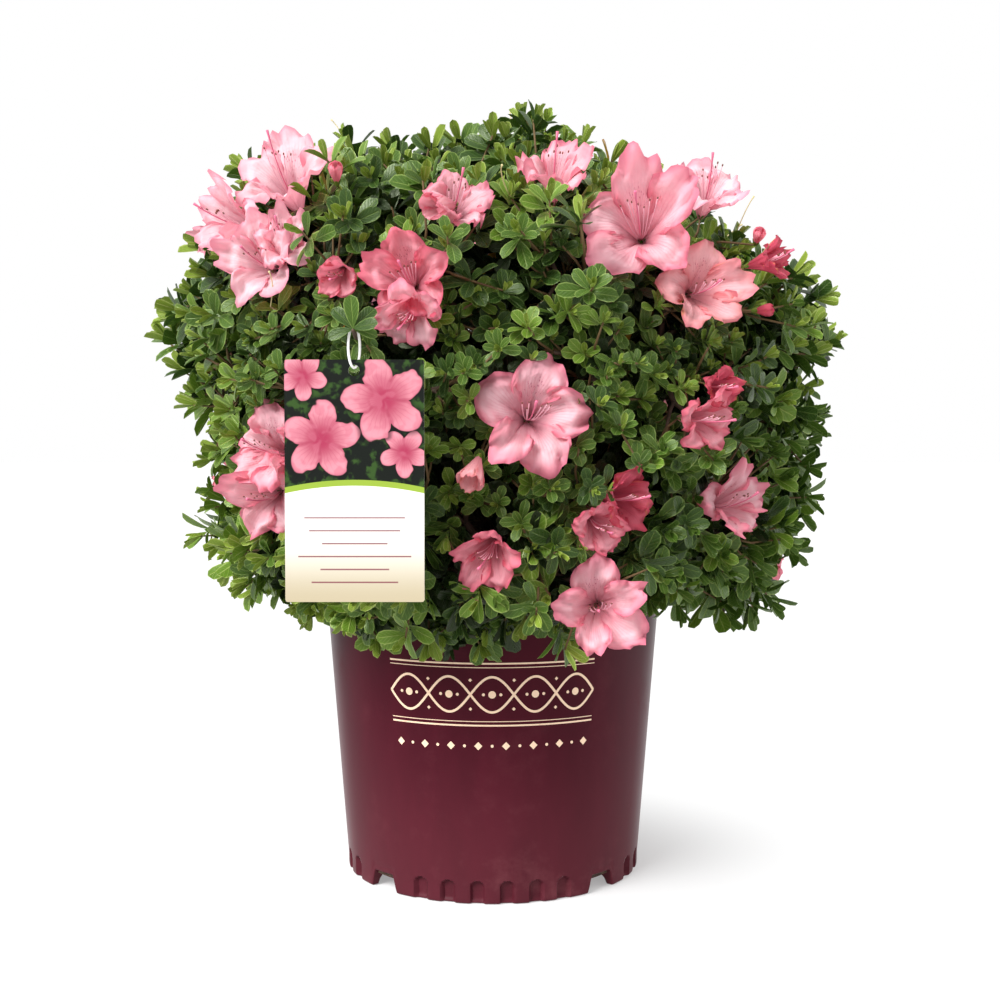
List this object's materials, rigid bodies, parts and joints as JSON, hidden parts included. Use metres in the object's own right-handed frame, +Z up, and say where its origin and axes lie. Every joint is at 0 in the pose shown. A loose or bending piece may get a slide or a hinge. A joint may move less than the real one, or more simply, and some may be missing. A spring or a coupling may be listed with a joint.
{
  "type": "flowering azalea shrub in a round nursery pot",
  "caption": "Rounded evergreen azalea with pale pink funnel flowers, standing in a tapered burgundy nursery pot with a hang tag; it stands on a floor or a bench",
  "frame": {"origin": "on the pot's axis, at the level of the flat underside that the pot stands on", "axes": "+Z up along the pot's axis, -Y towards the front, where the hang tag is, +X to the right of someone who faces the front"},
  "size_m": [0.558, 0.5476, 0.596],
  "materials": {
    "pot_plastic": "satin moulded burgundy polypropylene",
    "potting_mix": "dark composted bark, rough",
    "stems": "thin grey-brown bark, finely cracked",
    "foliage": "glossy mid-green leaves and soft pale pink petals",
    "tag_plastic": "smooth printed sheet and white moulded loop"
  },
  "bodies": {
    "root": {"pot": "pot_plastic", "potting_mix": "potting_mix", "trunk": "stems", "top_bough": "stems", "side_bough_1": "stems", "side_bough_2": "stems", "side_bough_3": "stems", "side_bough_4": "stems", "side_bough_5": "stems", "side_bough_6": "stems", "side_bough_7": "stems", "shoulder_bough_1": "stems", "shoulder_bough_2": "stems", "shoulder_bough_3": "stems", "shoulder_bough_4": "stems", "shoulder_bough_5": "stems", "skirt_bough_1": "stems", "skirt_bough_2": "stems", "skirt_bough_3": "stems", "skirt_bough_4": "stems", "skirt_bough_5": "stems", "skirt_bough_6": "stems", "skirt_bough_7": "stems", "skirt_mass_1": "foliage", "skirt_mass_2": "foliage", "skirt_mass_3": "foliage", "skirt_mass_4": "foliage", "skirt_mass_5": "foliage", "skirt_mass_6": "foliage", "skirt_mass_7": "foliage", "side_mass_1": "foliage", "side_mass_2": "foliage", "side_mass_3": "foliage", "side_mass_4": "foliage", "side_mass_5": "foliage", "side_mass_6": "foliage", "side_mass_7": "foliage", "shoulder_mass_1": "foliage", "shoulder_mass_2": "foliage", "shoulder_mass_3": "foliage", "shoulder_mass_4": "foliage", "shoulder_mass_5": "foliage", "top_mass": "foliage", "tag": "tag_plastic", "tag_loop": "tag_plastic"}
  },
  "joints": []
}
